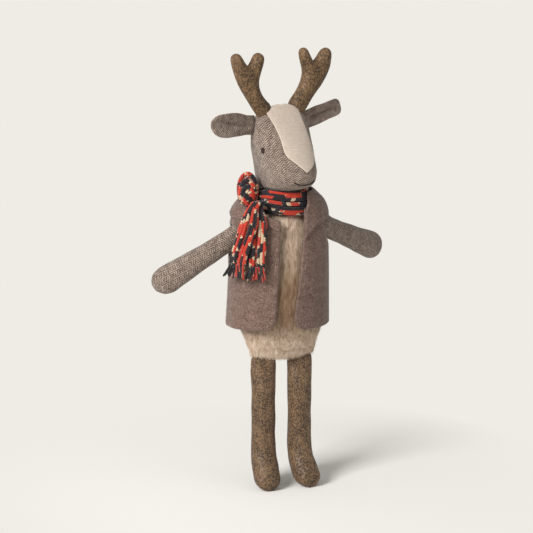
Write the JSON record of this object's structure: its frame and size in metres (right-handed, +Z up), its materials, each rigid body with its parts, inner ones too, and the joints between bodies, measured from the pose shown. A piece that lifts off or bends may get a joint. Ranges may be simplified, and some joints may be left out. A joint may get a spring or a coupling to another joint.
{
  "type": "plush deer",
  "caption": "Stuffed cloth deer doll with long limbs, forked antlers, an open felt vest and a fringed knitted scarf. The head, ears, arms and legs turn at their seams.",
  "frame": {"origin": "on the floor under the soles, at the middle of the bounding box in x and y", "axes": "+Z up, the deer faces -Y, +X is the viewer's right"},
  "size_m": [0.2116, 0.0876, 0.3711],
  "materials": {
    "cream_fur": "short brushed pile",
    "grey_twill": "matt twill weave",
    "brown_speckle": "printed speckled cloth with a slight sheen",
    "brown_suede": "suede cloth",
    "cream_linen": "matt plain weave",
    "stuffing": "loose polyester fibre",
    "grey_felt": "matt wool felt",
    "striped_knit": "chunky knit, striped coral, charcoal and cream",
    "brown_thread": "embroidery thread"
  },
  "bodies": {
    "torso": {"body_cover": "cream_fur", "body_stuffing": "stuffing", "vest_back": "grey_felt", "vest_front_left": "grey_felt", "vest_front_right": "grey_felt", "vest_collar": "grey_felt", "scarf_band": "striped_knit", "scarf_knot": "striped_knit", "scarf_tail_inner": "striped_knit", "scarf_tail_outer": "striped_knit", "scarf_fringe_inner": "striped_knit", "scarf_fringe_outer": "striped_knit"},
    "head": {"head_cover": "grey_twill", "head_stuffing": "stuffing", "antler_left_cover": "brown_suede", "antler_left_stuffing": "stuffing", "antler_right_cover": "brown_suede", "antler_right_stuffing": "stuffing", "forehead_blaze": "cream_linen", "eye_left": "brown_thread", "eye_right": "brown_thread", "mouth_stitch": "brown_thread"},
    "ear_left": {"ear_left": "grey_twill"},
    "ear_right": {"ear_right": "grey_twill"},
    "arm_left": {"arm_left_cover": "grey_twill", "arm_left_stuffing": "stuffing"},
    "arm_right": {"arm_right_cover": "grey_twill", "arm_right_stuffing": "stuffing"},
    "leg_left": {"leg_left_cover": "brown_speckle", "leg_left_stuffing": "stuffing"},
    "leg_right": {"leg_right_cover": "brown_speckle", "leg_right_stuffing": "stuffing"}
  },
  "joints": [
    {"name": "neck_turn", "type": "hinge", "parent": "torso", "child": "head", "pos_m": [0.0014, -0.00371, 0.24716], "axis": [0, 0, 1], "range_deg": [-30, 30]},
    {"name": "ear_left_fold", "type": "hinge", "parent": "head", "child": "ear_left", "pos_m": [-0.02377, -0.00336, 0.31066], "axis": [0, 0, 1], "range_deg": [-20, 30]},
    {"name": "ear_right_fold", "type": "hinge", "parent": "head", "child": "ear_right", "pos_m": [0.02387, 0.00764, 0.31066], "axis": [0, 0, 1], "range_deg": [-20, 30]},
    {"name": "shoulder_left_swing", "type": "hinge", "parent": "torso", "child": "arm_left", "pos_m": [-0.03538, -0.00371, 0.21986], "axis": [0, 0, 1], "range_deg": [-15, 50]},
    {"name": "shoulder_right_swing", "type": "hinge", "parent": "torso", "child": "arm_right", "pos_m": [0.03818, -0.00371, 0.22286], "axis": [0, 0, 1], "range_deg": [-80, 15]},
    {"name": "hip_left_swing", "type": "hinge", "parent": "torso", "child": "leg_left", "pos_m": [-0.0146, -0.00371, 0.11096], "axis": [-1, 0, 0], "range_deg": [-35, 80]},
    {"name": "hip_right_swing", "type": "hinge", "parent": "torso", "child": "leg_right", "pos_m": [0.0174, -0.00371, 0.11096], "axis": [-1, 0, 0], "range_deg": [-35, 80]}
  ]
}
